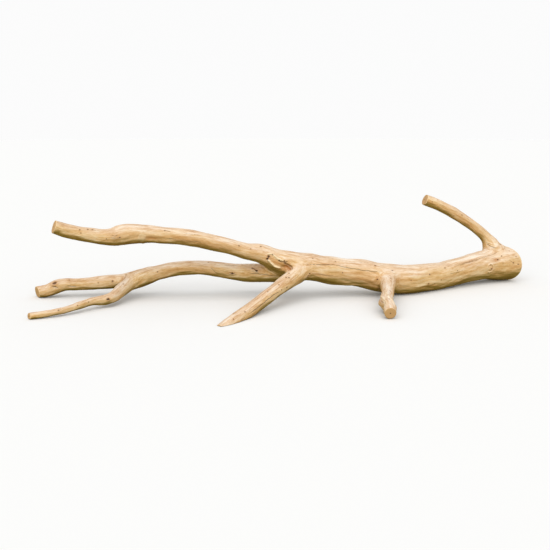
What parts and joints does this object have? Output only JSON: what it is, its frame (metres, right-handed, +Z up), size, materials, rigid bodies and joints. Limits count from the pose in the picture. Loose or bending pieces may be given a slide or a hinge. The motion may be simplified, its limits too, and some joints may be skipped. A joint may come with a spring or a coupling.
{
  "type": "fallen tree branch",
  "caption": "Debarked fallen tree branch that lies on its belly: a heavy trunk with a sawn butt, a forked crown of bent limbs, a prop, a stub and a rising side branch.",
  "frame": {"origin": "on the ground, in the middle of the branch's length and depth", "axes": "+X along the branch from the limb tips towards the sawn butt, +Y to the far side from the prop and the stub, +Z up"},
  "size_m": [4.8568, 1.9509, 0.9085],
  "materials": {
    "bare_wood": "debarked, sun-dried pale honey wood with lengthwise grain, drying cracks and small dark knots"
  },
  "bodies": {
    "root": {"trunk": "bare_wood", "upper_limb": "bare_wood", "lower_limb": "bare_wood", "back_prong": "bare_wood", "front_prong": "bare_wood", "prop_branch": "bare_wood", "short_stub": "bare_wood", "upright_branch": "bare_wood"}
  },
  "joints": []
}
